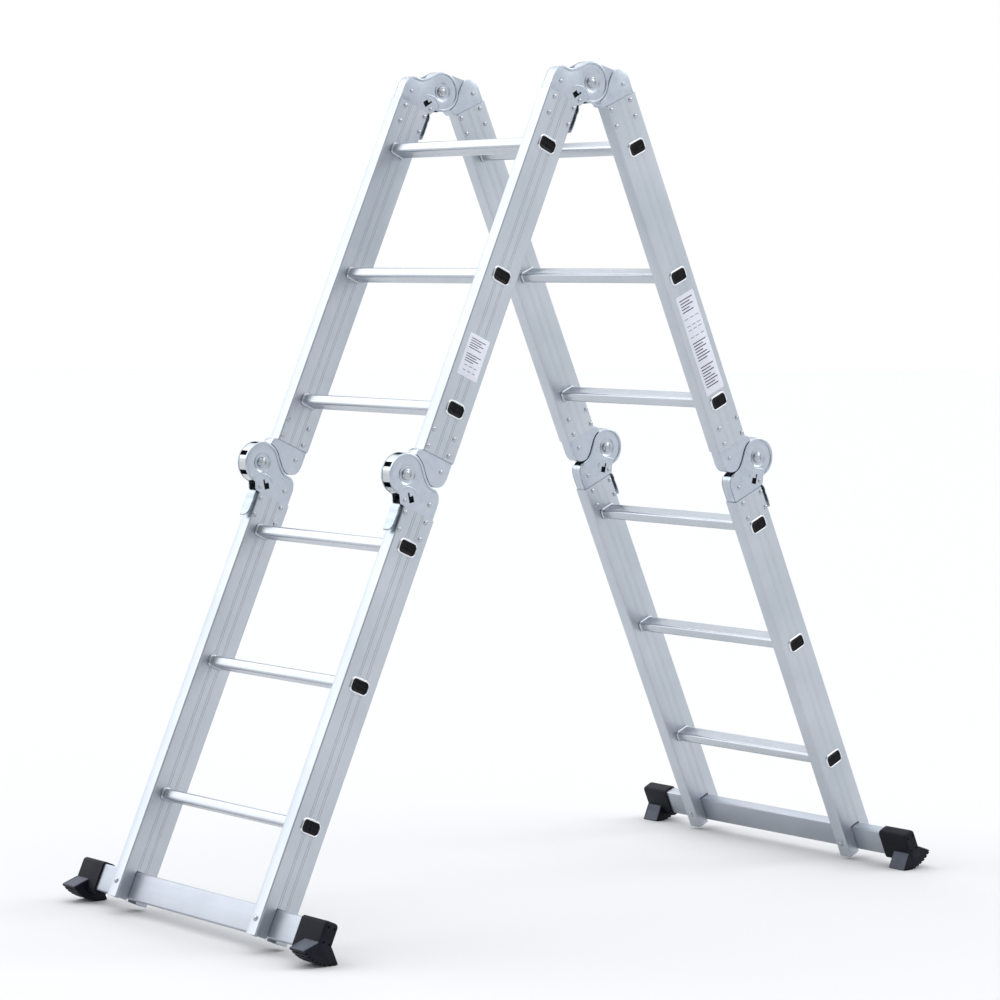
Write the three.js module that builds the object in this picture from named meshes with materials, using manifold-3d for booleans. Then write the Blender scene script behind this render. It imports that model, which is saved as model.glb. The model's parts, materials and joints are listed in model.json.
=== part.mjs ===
// A folding multi position ladder, standing as an A: four sections of three rungs, joined by six
// locking hinges, with a stabiliser bar and two rubber feet across the bottom of each leg.
// Millimetres, +Z up. X is the direction in which the legs spread, Y runs along the rungs, and
// the origin is on the floor under the middle of the ladder.
import * as THREE from "three";
import { mergeVertices } from "three/addons/utils/BufferGeometryUtils.js";
import Module from "manifold-3d";

const wasm = await Module();
wasm.setup();

// ---- Driving dimensions ----
const HALF_ANGLE = THREE.MathUtils.degToRad(24); // each leg leans this far from upright
const RUNG_PITCH = 250; // from rung to rung in one section
const RUNGS_PER_SECTION = 3;
const LADDER_WIDTH = 454; // over the outer faces of the stiles
const GAP = 0.3; // left between pieces that touch
const OVERCUT = 1; // how far a cut runs past the piece that it goes through

const STILE = { depth: 71, thick: 28.6, wall: 1.8, corner: 3 };
const RUNG = { depth: 32, height: 19, corner: 5, wall: 1.7, proud: 1.4 };

const PIVOT_OFFSET = 14.5; // from a pivot axis to the narrow face of the stile that it folds against
const PIVOT_TO_STILE_END = 52;
const TOP_PIVOT_TO_FIRST_RUNG = 144.5;
const TOP_PIVOT_TO_MID_PIVOT = 784;
const MID_PIVOT_TO_FOURTH_RUNG = 114.5;
const MID_PIVOT_TO_BAR = 785;
const BAR_TO_STILE_BOTTOM = 28.5;

const BAR = { depth: 21, height: 49, corner: 2.5, wall: 1.8 };
const FOOT = {
  end: 370, // of the boot, from the middle of the ladder
  bootLength: 68,
  wingLength: 42,
  halfWidth: 14,
  top: 28, // above the middle of the bar
  bootBottom: 31, // below the middle of the bar
  waist: 10,
  waistHalfWidth: 13,
  tip: 33,
  tipHalfWidth: 37.5,
  bottom: 43.5,
  endWall: 4,
  corner: 6,
};
const BOLT = { radius: 3.6, headRadius: 6.5, headHeight: 3.4, sides: 8 };

// Hinge dimensions, seen along the pivot: "in" runs from the pivot across the stile, "along" runs
// from the pivot down the length of the stile that the half is fixed in.
const HINGE = {
  discRadius: 37,
  drumRadius: 36.5,
  drumClearance: 1.3, // between the edge of the lock plates and the cheeks of the drum
  plateThick: 2.4,
  cheekThick: 3.5,
  backCorner: [58, 0], // where the two halves stop against each other when the ladder is straight
  shoulder: 28, // along, at which the rounded back corner has reached the back edge
  waistAngle: THREE.MathUtils.degToRad(40), // at which the edge leaves the disc for the back corner
  waistControl: [47.4, -1], // of the curve between them
  flangeStart: 3, // steps round the back corner at which the plates' folded edge starts
  frontNose: [9, 50.8], // the front edge just outside the stile end
  frontThroat: [4, 43],
  tailEnd: 100, // how far the halves reach into the stile
  webEnd: 62,
  webFront: [20, 10], // inside the drum, where the web's outline closes
  discSteps: 18,
  cheekSteps: 4,
  drumSides: 28,
  pivotRadius: 6,
  pivotHeadRadius: 10,
  pivotHeadHeight: 3,
  pivotSides: 12,
  runningGap: 0.3,
};
const LEVER = {
  pin: [13, 42],
  pinRadius: 3,
  pinSides: 10,
  armHalfWidth: 9.2,
  armFront: 41, // along, where the arm starts on the tab's face
  armHeel: [12, 37],
  armShoulder: [16, 46.5],
  armThroat: 49.5, // along, where the arm meets the back of the tab
  armEnd: 59.6,
  tabHalfWidth: 12.8,
  tabFace: 6, // in, of the face that a finger pulls from below
  tabThick: 3.2,
  tabStart: 51.6,
  tabBend: 91.5, // along, where the tab bends outward to its lip
  tabEnd: 100,
  lipOut: 3.4,
};
const TOOTH = { from: 37.3, to: 46, halfWidth: 4, angle: THREE.MathUtils.degToRad(54.2) };
const WINDOW = { middle: 42, halfLong: 7.5, halfWide: 5.5 };
const NOTCH = { depth: 6, halfWidth: 4.7 };
// How far a hinge is folded from straight where its tooth drops into a notch of the drum.
const LOCKS = [0, 75, 132, 180];

// ---- Derived dimensions ----
const STILE_MID_Y = (LADDER_WIDTH - STILE.thick) / 2;
const STILE_MID_OFF = PIVOT_OFFSET + STILE.depth / 2;
const MID_PIVOT_OFF = 2 * PIVOT_OFFSET + STILE.depth;
const BAR_ALONG = TOP_PIVOT_TO_MID_PIVOT + MID_PIVOT_TO_BAR;
const LEG_END = BAR_ALONG + BAR_TO_STILE_BOTTOM;
const SLEEVE = STILE.thick / 2 - STILE.wall - GAP; // half the thickness that fits inside a stile
const IN_STILE = {
  front: PIVOT_OFFSET + STILE.wall + GAP,
  back: PIVOT_OFFSET + STILE.depth - STILE.wall - GAP,
};
// The sole is an arc through both tips and the bottom of the foot.
const SOLE_RISE = FOOT.bottom - FOOT.tip;
const SOLE_RADIUS = (FOOT.tipHalfWidth ** 2 + SOLE_RISE ** 2) / (2 * SOLE_RISE);
const SOLE_CENTRE = FOOT.bottom - SOLE_RADIUS; // below the middle of the bar
const PIVOT_HEIGHT =
  (BAR_ALONG + SOLE_CENTRE) * Math.cos(HALF_ANGLE) -
  STILE_MID_OFF * Math.sin(HALF_ANGLE) +
  SOLE_RADIUS;

// ---- Materials ----
const metal = (color, roughness) =>
  new THREE.MeshStandardMaterial({ color, roughness, metalness: 1 });
const aluminium = () => metal(0xc9ced6, 0.38);
const rungAluminium = () => metal(0xd6dae2, 0.34);
const zincPlate = () => metal(0xb4bdc6, 0.28);
const drumMetal = () => metal(0xa5adb5, 0.3);
const rivetSteel = () => metal(0xbfc4ca, 0.22);
const rubber = () =>
  new THREE.MeshStandardMaterial({ color: 0x24262a, roughness: 0.75, metalness: 0 });

// ---- Solids ----
function solidOf(geometry) {
  const bare = geometry.clone();
  bare.deleteAttribute("normal");
  bare.deleteAttribute("uv");
  const merged = mergeVertices(bare, 1e-4);
  return new wasm.Manifold(
    new wasm.Mesh({
      numProp: 3,
      vertProperties: merged.attributes.position.array,
      triVerts: new Uint32Array(merged.index.array),
    }),
  );
}

function geometryOf(solid) {
  const mesh = solid.getMesh();
  const geometry = new THREE.BufferGeometry();
  geometry.setAttribute("position", new THREE.BufferAttribute(mesh.vertProperties, 3));
  geometry.setIndex(new THREE.BufferAttribute(mesh.triVerts, 1));
  geometry.computeVertexNormals();
  return geometry;
}

// Joins the first pieces into one solid and takes the tools away from it.
function carve(pieces, tools) {
  let solid = pieces.map(solidOf).reduce((whole, piece) => whole.add(piece));
  for (const tool of tools) solid = solid.subtract(solidOf(tool));
  return geometryOf(solid);
}

function polygon(points) {
  return new THREE.Shape(points.map(([x, y]) => new THREE.Vector2(x, y)));
}

function rectangle(x, y, width, height) {
  const [right, high] = [x + width / 2, y + height / 2];
  const [left, low] = [x - width / 2, y - height / 2];
  return polygon([
    [left, low],
    [right, low],
    [right, high],
    [left, high],
  ]);
}

function roundedRectangle(x, y, width, height, radius) {
  const right = x + width / 2 - radius;
  const left = x - width / 2 + radius;
  const high = y + height / 2 - radius;
  const low = y - height / 2 + radius;
  const shape = new THREE.Shape();
  shape.absarc(right, high, radius, 0, Math.PI / 2, false);
  shape.absarc(left, high, radius, Math.PI / 2, Math.PI, false);
  shape.absarc(left, low, radius, Math.PI, 1.5 * Math.PI, false);
  shape.absarc(right, low, radius, 1.5 * Math.PI, 2 * Math.PI, false);
  shape.closePath();
  return shape;
}

function extruded(shape, depth, curveSegments) {
  return new THREE.ExtrudeGeometry(shape, { depth, bevelEnabled: false, curveSegments });
}

// A shape drawn in X and Z, given thickness along Y from low to high.
function slab(shape, low, high, curveSegments = 2) {
  const geometry = extruded(shape, high - low, curveSegments);
  geometry.rotateX(Math.PI / 2);
  return geometry.translate(0, high, 0);
}

// Low and high of what runs between two distances from the middle, toward sign.
function stretch(middle, sign, from, to) {
  return [middle + sign * from, middle + sign * to].sort((a, b) => a - b);
}

// A round bar along Y.
function pegY(x, z, radius, low, high, sides) {
  const geometry = new THREE.CylinderGeometry(radius, radius, high - low, sides);
  return geometry.translate(x, (low + high) / 2, z);
}

// A pin along Y with a head at each end, whose heads start at face on either side.
function headedPin(radius, headRadius, face, headHeight, sides) {
  const outer = face + headHeight;
  const profile = [
    [0, -outer],
    [headRadius, -outer],
    [headRadius, -face],
    [radius, -face],
    [radius, face],
    [headRadius, face],
    [headRadius, outer],
    [0, outer],
  ];
  return new THREE.LatheGeometry(profile.map(([r, h]) => new THREE.Vector2(r, h)), sides);
}

// ---- Legs: in a leg's own frame the top pivot is the origin and -Z runs down the leg ----
// side is -1 on the left leg and 1 on the right one; "off" is measured outward from the pivot.

function stile(side, yMid, from, to, rungs, slotted) {
  const xMid = side * STILE_MID_OFF;
  const outline = roundedRectangle(xMid, yMid, STILE.depth, STILE.thick, STILE.corner);
  outline.holes.push(rectangle(xMid, yMid, STILE.depth - 2 * STILE.wall, STILE.thick - 2 * STILE.wall));
  const tube = extruded(outline, to - from, 1).translate(0, 0, -to);
  const tools = rungs.map((along) => rungBlank(side, along, yMid, GAP));
  if (slotted) tools.push(barSlot(side, yMid), boltHole(side, yMid));
  return carve([tube], tools);
}

// The outside of a rung, as long as one stile is thick, to cut its holes with.
function rungBlank(side, along, yMid, room) {
  const shape = roundedRectangle(
    side * STILE_MID_OFF,
    -along,
    RUNG.depth + 2 * room,
    RUNG.height + 2 * room,
    RUNG.corner + room,
  );
  return slab(shape, yMid - STILE.thick, yMid + STILE.thick);
}

function barSlot(side, yMid) {
  const high = -(BAR_ALONG - BAR.height / 2 - GAP);
  const low = -(LEG_END + OVERCUT);
  const box = new THREE.BoxGeometry(BAR.depth + 2 * GAP, 2 * STILE.thick, high - low);
  return box.translate(side * STILE_MID_OFF, yMid, (high + low) / 2);
}

function boltHole(side, yMid) {
  const radius = BOLT.radius + GAP;
  const hole = new THREE.CylinderGeometry(radius, radius, 2 * STILE.depth, BOLT.sides);
  hole.rotateZ(Math.PI / 2);
  return hole.translate(side * STILE_MID_OFF, yMid, -BAR_ALONG);
}

function rung(side, along) {
  const x = side * STILE_MID_OFF;
  const outline = roundedRectangle(x, -along, RUNG.depth, RUNG.height, RUNG.corner);
  outline.holes.push(rectangle(x, -along, RUNG.depth - 2 * RUNG.wall, RUNG.height - 2 * RUNG.wall));
  const end = LADDER_WIDTH / 2 + RUNG.proud;
  return slab(outline, -end, end);
}

function stabiliserBar(side) {
  const x = side * STILE_MID_OFF;
  const outline = roundedRectangle(x, -BAR_ALONG, BAR.depth, BAR.height, BAR.corner);
  outline.holes.push(rectangle(x, -BAR_ALONG, BAR.depth - 2 * BAR.wall, BAR.height - 2 * BAR.wall));
  const end = FOOT.end - FOOT.endWall - GAP;
  const holes = Object.values(rows).map((row) => boltHole(side, row * STILE_MID_Y));
  return carve([slab(outline, -end, end, 1)], holes);
}

// A bolt through both narrow walls of the stile and through the bar, with a head at each end.
function barBolt(side, yMid) {
  const face = STILE.depth / 2 + GAP;
  const geometry = headedPin(BOLT.radius, BOLT.headRadius, face, BOLT.headHeight, BOLT.sides);
  geometry.rotateZ(Math.PI / 2);
  return geometry.translate(side * STILE_MID_OFF, yMid, -BAR_ALONG);
}

// A rubber boot over the end of the bar, with a splayed rocker sole; end is -1 near, 1 far.
function foot(side, end) {
  const x = side * STILE_MID_OFF;
  const z = -BAR_ALONG;
  const bootHeight = FOOT.top + FOOT.bootBottom;
  const bootMid = z + (FOOT.top - FOOT.bootBottom) / 2;
  const boot = roundedRectangle(x, bootMid, 2 * FOOT.halfWidth, bootHeight, FOOT.corner);
  const tipAngle = Math.asin(FOOT.tipHalfWidth / SOLE_RADIUS);
  const sole = [];
  for (const angle of [-tipAngle, -HALF_ANGLE, -HALF_ANGLE / 2, 0, HALF_ANGLE / 2, HALF_ANGLE, tipAngle]) {
    sole.push([x + SOLE_RADIUS * Math.sin(angle), z - SOLE_CENTRE - SOLE_RADIUS * Math.cos(angle)]);
  }
  const base = polygon([
    ...sole,
    [x + FOOT.waistHalfWidth, z - FOOT.waist],
    [x - FOOT.waistHalfWidth, z - FOOT.waist],
  ]);
  const inner = FOOT.end - FOOT.bootLength;
  const bootSpan = stretch(0, end, inner, FOOT.end);
  const baseSpan = stretch(0, end, FOOT.end - FOOT.wingLength, FOOT.end);
  const pocketSpan = stretch(0, end, inner - OVERCUT, FOOT.end - FOOT.endWall);
  const pocket = roundedRectangle(x, z, BAR.depth + 2 * GAP, BAR.height + 2 * GAP, BAR.corner);
  return carve(
    [slab(boot, ...bootSpan), slab(base, ...baseSpan)],
    [slab(pocket, ...pocketSpan, 1)],
  );
}

// ---- Hinges ----
// place carries (in, along) of one hinge half to X and Z of its leg.
function place(hinge, half) {
  const alongSign = half === "drum" ? hinge.drumSign : hinge.plateSign;
  return ([inward, along]) => [hinge.x + hinge.inSign * inward, hinge.z + alongSign * along];
}

function arc(radius, from, to, steps) {
  const points = [];
  for (let i = 0; i <= steps; i++) {
    const angle = from + ((to - from) * i) / steps;
    points.push([radius * Math.cos(angle), radius * Math.sin(angle)]);
  }
  return points;
}

// The rounded back corner, from the stop to the back edge.
function backCorner([inward, along], steps = 5) {
  const start = new THREE.Vector2(inward, along);
  const control = new THREE.Vector2(IN_STILE.back, along);
  const end = new THREE.Vector2(IN_STILE.back, HINGE.shoulder);
  const curve = new THREE.QuadraticBezierCurve(start, control, end);
  return curve.getPoints(steps).map((p) => [p.x, p.y]);
}

function tail(end) {
  return [
    [IN_STILE.back, end],
    [IN_STILE.front, end],
    [IN_STILE.front, HINGE.frontNose[1]],
    HINGE.frontNose,
    HINGE.frontThroat,
  ];
}

// The hollow edge between the disc, or the arc that clears it, and the back corner.
function waist(radius, sign, [stopIn, stopAlong], room, steps = 4) {
  const [controlIn, controlAlong] = HINGE.waistControl;
  const curve = new THREE.QuadraticBezierCurve(
    new THREE.Vector2(radius * Math.cos(HINGE.waistAngle), sign * radius * Math.sin(HINGE.waistAngle)),
    new THREE.Vector2(controlIn + room, -sign * controlAlong + sign * room),
    new THREE.Vector2(stopIn, stopAlong),
  );
  return curve.getPoints(steps).slice(1, -1).map((p) => [p.x, p.y]);
}

// A lock plate with its back edge folded in to the middle of the hinge; outward is -1 or 1 in Y.
function lockPlate(hinge, yMid, outward) {
  const to = place(hinge, "plate");
  const frontAngle = Math.acos(HINGE.frontThroat[0] / HINGE.discRadius);
  const outline = [
    ...backCorner(HINGE.backCorner),
    ...tail(HINGE.tailEnd),
    ...arc(HINGE.discRadius, frontAngle, 2 * Math.PI - HINGE.waistAngle, HINGE.discSteps),
    ...waist(HINGE.discRadius, -1, HINGE.backCorner, 0),
  ];
  const fold = backCorner(HINGE.backCorner).slice(HINGE.flangeStart);
  const inside = fold.map(([inward, along]) => [inward - HINGE.plateThick, along]).reverse();
  const flange = [
    ...fold,
    [IN_STILE.back, HINGE.webEnd],
    [IN_STILE.back - HINGE.plateThick, HINGE.webEnd],
    ...inside,
  ];
  const sheet = stretch(yMid, outward, SLEEVE - HINGE.plateThick, SLEEVE);
  const lap = stretch(yMid, outward, GAP / 2, SLEEVE);
  const through = [sheet[0] - OVERCUT, sheet[1] + OVERCUT];
  const window = alongTooth(WINDOW.middle, WINDOW.halfWide, WINDOW.halfLong);
  const pivotHole = HINGE.pivotRadius + HINGE.runningGap;
  const pinHole = LEVER.pinRadius + HINGE.runningGap;
  return carve(
    [slab(polygon(outline.map(to)), ...sheet), slab(polygon(flange.map(to)), ...lap)],
    [
      pegY(...to([0, 0]), pivotHole, ...through, HINGE.pivotSides),
      pegY(...to(LEVER.pin), pinHole, ...through, LEVER.pinSides),
      slab(polygon(window.map(to)), ...through),
    ],
  );
}

// Four corners of a box on the line from the pivot through the lock tooth.
function alongTooth(middle, halfAcross, halfAlong) {
  const [cos, sin] = [Math.cos(TOOTH.angle), Math.sin(TOOTH.angle)];
  const corner = (radial, across) => [
    cos * (middle + radial) + sin * across,
    sin * (middle + radial) - cos * across,
  ];
  return [
    corner(-halfAlong, -halfAcross),
    corner(halfAlong, -halfAcross),
    corner(halfAlong, halfAcross),
    corner(-halfAlong, halfAcross),
  ];
}

// The notched drum that turns between the lock plates, with the web that runs from it to the
// back corner and the two cheeks that carry it into the stile.
function drum(hinge, yMid) {
  const to = place(hinge, "drum");
  const clear = HINGE.discRadius + HINGE.drumClearance;
  const stop = [HINGE.backCorner[0], HINGE.drumClearance];
  const frontAngle = Math.acos(HINGE.frontThroat[0] / clear);
  const cheek = [
    ...backCorner(stop),
    ...tail(HINGE.tailEnd),
    ...arc(clear, frontAngle, HINGE.waistAngle, HINGE.cheekSteps),
    ...waist(clear, 1, stop, HINGE.drumClearance),
  ];
  const touch = -Math.acos(HINGE.drumRadius / HINGE.backCorner[0]);
  const web = [
    ...backCorner(HINGE.backCorner),
    ...tail(HINGE.webEnd),
    [HINGE.frontThroat[0], HINGE.webFront[1]],
    HINGE.webFront,
    [HINGE.drumRadius * Math.cos(touch), HINGE.drumRadius * Math.sin(touch)],
  ];
  const half = SLEEVE - HINGE.plateThick - GAP;
  const core = [yMid - half, yMid + half];
  const through = [core[0] - OVERCUT, core[1] + OVERCUT];
  const cheeks = [-1, 1].map((sign) => {
    const layer = stretch(yMid, sign, SLEEVE - HINGE.cheekThick, SLEEVE);
    return slab(polygon(cheek.map(to)), ...layer);
  });
  const bore = pegY(...to([0, 0]), HINGE.pivotRadius + HINGE.runningGap, ...through, HINGE.pivotSides);
  return carve(
    [
      pegY(...to([0, 0]), HINGE.drumRadius, ...core, HINGE.drumSides),
      slab(polygon(web.map(to)), ...core),
      ...cheeks,
    ],
    [bore, ...LOCKS.map((folded) => slab(notch(folded, to), ...through))],
  );
}

// The tooth stands opposite the drum's stile when the hinge is straight, and goes round the
// front of the drum as the hinge folds.
function notch(folded, to) {
  const turn = THREE.MathUtils.degToRad(folded);
  const [cos, sin] = [Math.cos(turn), Math.sin(turn)];
  const straight = alongTooth(HINGE.drumRadius, NOTCH.halfWidth, NOTCH.depth);
  const corners = straight.map(([x, y]) => [x * cos - y * sin, -x * sin - y * cos]);
  return polygon(corners.map(to));
}

function pivotRivet(hinge, yMid) {
  const { pivotRadius, pivotHeadRadius, pivotHeadHeight, pivotSides } = HINGE;
  const geometry = headedPin(pivotRadius, pivotHeadRadius, SLEEVE + GAP, pivotHeadHeight, pivotSides);
  return geometry.translate(hinge.x, yMid, hinge.z);
}

// The sprung release lever: a tab over the narrow face of the stile, an arm that carries the
// lock tooth between the plates, and the pin that it turns on.
function releaseLever(hinge, yMid) {
  const to = place(hinge, "plate");
  const tooth = alongTooth((TOOTH.from + TOOTH.to) / 2, TOOTH.halfWidth, (TOOTH.to - TOOTH.from) / 2);
  const back = LEVER.tabFace + LEVER.tabThick;
  const arm = [
    [LEVER.tabFace, LEVER.armFront],
    LEVER.armHeel,
    tooth[0],
    tooth[1],
    LEVER.armShoulder,
    [back, LEVER.armThroat],
    [back, LEVER.armEnd],
    [LEVER.tabFace, LEVER.armEnd],
  ];
  const tab = [
    [LEVER.tabFace, LEVER.tabStart],
    [back, LEVER.tabStart],
    [back, LEVER.tabBend],
    [back - LEVER.lipOut, LEVER.tabEnd],
    [LEVER.tabFace - LEVER.lipOut, LEVER.tabEnd],
    [LEVER.tabFace, LEVER.tabBend],
  ];
  const armSpan = [yMid - LEVER.armHalfWidth, yMid + LEVER.armHalfWidth];
  const tabSpan = [yMid - LEVER.tabHalfWidth, yMid + LEVER.tabHalfWidth];
  const pin = pegY(...to(LEVER.pin), LEVER.pinRadius, yMid - SLEEVE, yMid + SLEEVE, LEVER.pinSides);
  return carve(
    [
      slab(polygon(arm.map(to)), ...armSpan),
      slab(polygon(tooth.map(to)), ...armSpan),
      slab(polygon(tab.map(to)), ...tabSpan),
      pin,
    ],
    [],
  );
}

// ---- Assembly ----
const ladder = new THREE.Group();
ladder.name = "multi_position_ladder";

function legGroup(side) {
  const group = new THREE.Group();
  group.position.set(0, 0, PIVOT_HEIGHT);
  group.rotation.y = -side * HALF_ANGLE;
  ladder.add(group);
  return group;
}
const legs = { left: { side: -1, group: legGroup(-1) }, right: { side: 1, group: legGroup(1) } };
const rows = { near: -1, far: 1 };

function add(group, name, geometry, material) {
  const mesh = new THREE.Mesh(geometry, material);
  mesh.name = name;
  group.add(mesh);
}

function rungPositions(first) {
  return Array.from({ length: RUNGS_PER_SECTION }, (_, i) => first + i * RUNG_PITCH);
}

const SECTIONS = [
  { number: 1, leg: legs.left, upper: false },
  { number: 2, leg: legs.left, upper: true },
  { number: 3, leg: legs.right, upper: true },
  { number: 4, leg: legs.right, upper: false },
];
for (const { number, leg, upper } of SECTIONS) {
  const { side, group } = leg;
  const from = upper ? PIVOT_TO_STILE_END : TOP_PIVOT_TO_MID_PIVOT + PIVOT_TO_STILE_END;
  const to = upper ? TOP_PIVOT_TO_MID_PIVOT - PIVOT_TO_STILE_END : LEG_END;
  const firstRung = upper
    ? TOP_PIVOT_TO_FIRST_RUNG
    : TOP_PIVOT_TO_MID_PIVOT + MID_PIVOT_TO_FOURTH_RUNG;
  const rungs = rungPositions(firstRung);
  for (const [row, ySign] of Object.entries(rows)) {
    const geometry = stile(side, ySign * STILE_MID_Y, from, to, rungs, !upper);
    add(group, `section_${number}_${row}_stile`, geometry, aluminium());
  }
  rungs.forEach((along, i) => {
    add(group, `section_${number}_rung_${i + 1}`, rung(side, along), rungAluminium());
  });
}

for (const [name, { side, group }] of Object.entries(legs)) {
  add(group, `${name}_stabiliser_bar`, stabiliserBar(side), aluminium());
  for (const [row, ySign] of Object.entries(rows)) {
    add(group, `${name}_${row}_foot`, foot(side, ySign), rubber());
    add(group, `${name}_${row}_bar_bolt`, barBolt(side, ySign * STILE_MID_Y), rivetSteel());
  }
}

// The lock plates of a hinge sit in one stile and its drum in the other. At the top the plates
// are in the left leg; in the middle of a leg they are in its lower section.
const topHinge = (side) => ({ x: 0, z: 0, inSign: side, plateSign: -1, drumSign: -1 });
const midHinge = (side) => ({
  x: side * MID_PIVOT_OFF,
  z: -TOP_PIVOT_TO_MID_PIVOT,
  inSign: -side,
  plateSign: -1,
  drumSign: 1,
});
const HINGES = [
  { name: "top", plates: legs.left, drums: legs.right, at: topHinge },
  { name: "left", plates: legs.left, drums: legs.left, at: midHinge },
  { name: "right", plates: legs.right, drums: legs.right, at: midHinge },
];
for (const { name, plates, drums, at } of HINGES) {
  for (const [row, ySign] of Object.entries(rows)) {
    const yMid = ySign * STILE_MID_Y;
    const own = at(plates.side);
    const mate = at(drums.side);
    for (const [layer, outward] of [["outer", ySign], ["inner", -ySign]]) {
      const plate = lockPlate(own, yMid, outward);
      add(plates.group, `${name}_${row}_${layer}_lock_plate`, plate, zincPlate());
    }
    add(plates.group, `${name}_${row}_pivot_rivet`, pivotRivet(own, yMid), rivetSteel());
    add(plates.group, `${name}_${row}_release_lever`, releaseLever(own, yMid), zincPlate());
    add(drums.group, `${name}_${row}_notched_drum`, drum(mate, yMid), drumMetal());
  }
}

export default ladder;
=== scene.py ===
# The looks of a folding multi position ladder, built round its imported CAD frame.
# Shapes are drawn in millimetres in the frame of the leg that they belong to: the top pivot is
# the origin, X points to the right and -Z runs down the leg. Each finished mesh is then turned
# to where its leg stands, and keeps its leg coordinates as an attribute for the materials.
import json
import math

import bmesh
import bpy
from mathutils import Matrix, Vector


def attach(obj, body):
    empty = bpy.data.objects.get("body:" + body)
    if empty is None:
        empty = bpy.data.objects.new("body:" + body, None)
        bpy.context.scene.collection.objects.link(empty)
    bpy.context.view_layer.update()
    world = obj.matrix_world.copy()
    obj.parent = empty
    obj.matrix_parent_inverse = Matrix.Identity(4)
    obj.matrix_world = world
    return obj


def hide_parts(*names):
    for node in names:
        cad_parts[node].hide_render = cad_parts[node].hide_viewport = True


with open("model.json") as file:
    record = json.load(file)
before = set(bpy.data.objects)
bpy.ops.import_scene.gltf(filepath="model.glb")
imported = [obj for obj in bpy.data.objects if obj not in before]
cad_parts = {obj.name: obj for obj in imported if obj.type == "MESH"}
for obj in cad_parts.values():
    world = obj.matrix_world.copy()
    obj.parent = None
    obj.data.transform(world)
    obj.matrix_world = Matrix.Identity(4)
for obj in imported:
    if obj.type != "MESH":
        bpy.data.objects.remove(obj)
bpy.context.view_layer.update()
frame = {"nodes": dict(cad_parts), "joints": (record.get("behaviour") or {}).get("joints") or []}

MM = 0.001
TURN = 2 * math.pi
HALF_ANGLE = math.radians(24)
ROWS = {"near": -1, "far": 1}
SIDES = {"left": -1, "right": 1}
SECTIONS = {1: "left", 2: "left", 3: "right", 4: "right"}
LOWER_SECTIONS = (1, 4)
RUNGS = (1, 2, 3)
TOP_PIVOT = Vector(next(j["pos_m"] for j in frame["joints"] if j["name"] == "top_hinge"))
LEG_FRAME = {
    name: Matrix.Translation((0, 0, TOP_PIVOT.z)) @ Matrix.Rotation(-side * HALF_ANGLE, 4, "Y")
    for name, side in SIDES.items()
}


class Box:
    """The box of a CAD node in its leg's frame, in millimetres."""

    def __init__(self, node, leg):
        to_leg = LEG_FRAME[leg].inverted()
        points = [to_leg @ v.co / MM for v in frame["nodes"][node].data.vertices]
        self.low = Vector(map(min, *points))
        self.high = Vector(map(max, *points))
        self.middle = (self.low + self.high) / 2
        self.size = self.high - self.low


# ---- Materials ----
LEG_PLACE = "leg_place"
NOISE_LOW, NOISE_HIGH = 0.3, 0.7  # most of a noise's values lie between these


def shader(name, color, roughness, metallic=0.0):
    material = bpy.data.materials.new(name)
    material.use_nodes = True
    bsdf = material.node_tree.nodes["Principled BSDF"]
    bsdf.inputs["Base Color"].default_value = (*color, 1)
    bsdf.inputs["Roughness"].default_value = roughness
    bsdf.inputs["Metallic"].default_value = metallic
    return material, material.node_tree.nodes, material.node_tree.links, bsdf


def noise(nodes, links, scale, detail, stretch=(1, 1, 1)):
    """A noise in the leg's own metres; stretch draws it out along an axis."""
    coordinates = nodes.new("ShaderNodeAttribute")
    coordinates.attribute_name = LEG_PLACE
    mapping = nodes.new("ShaderNodeMapping")
    mapping.inputs["Scale"].default_value = stretch
    texture = nodes.new("ShaderNodeTexNoise")
    texture.inputs["Scale"].default_value = scale
    texture.inputs["Detail"].default_value = detail
    links.new(coordinates.outputs["Vector"], mapping.inputs["Vector"])
    links.new(mapping.outputs["Vector"], texture.inputs["Vector"])
    return texture.outputs["Fac"]


def gloss(nodes, links, bsdf, value, low, high):
    """Lets the roughness follow a noise from low to high."""
    ranged = nodes.new("ShaderNodeMapRange")
    ranged.inputs["From Min"].default_value = NOISE_LOW
    ranged.inputs["From Max"].default_value = NOISE_HIGH
    ranged.inputs["To Min"].default_value = low
    ranged.inputs["To Max"].default_value = high
    links.new(value, ranged.inputs["Value"])
    links.new(ranged.outputs["Result"], bsdf.inputs["Roughness"])


def tint(nodes, links, bsdf, value, dark, light):
    """Lets the colour follow a noise from dark to light."""
    ramp = nodes.new("ShaderNodeValToRGB")
    first, last = ramp.color_ramp.elements
    first.position, first.color = NOISE_LOW, (*dark, 1)
    last.position, last.color = NOISE_HIGH, (*light, 1)
    links.new(value, ramp.inputs["Fac"])
    links.new(ramp.outputs["Color"], bsdf.inputs["Base Color"])


def relief(nodes, links, bsdf, value, strength, distance):
    bump = nodes.new("ShaderNodeBump")
    bump.inputs["Strength"].default_value = strength
    bump.inputs["Distance"].default_value = distance
    links.new(value, bump.inputs["Height"])
    links.new(bump.outputs["Normal"], bsdf.inputs["Normal"])


def drawn_metal(name, dark, light, roughness, stretch):
    """Extruded aluminium: fine die lines along the bar and soft handling marks."""
    material, nodes, links, bsdf = shader(name, light, roughness[0], metallic=1.0)
    lines = noise(nodes, links, scale=900, detail=3, stretch=stretch)
    marks = noise(nodes, links, scale=9, detail=6)
    gloss(nodes, links, bsdf, lines, *roughness)
    tint(nodes, links, bsdf, marks, dark, light)
    relief(nodes, links, bsdf, lines, strength=0.35, distance=0.00008)
    return material


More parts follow.
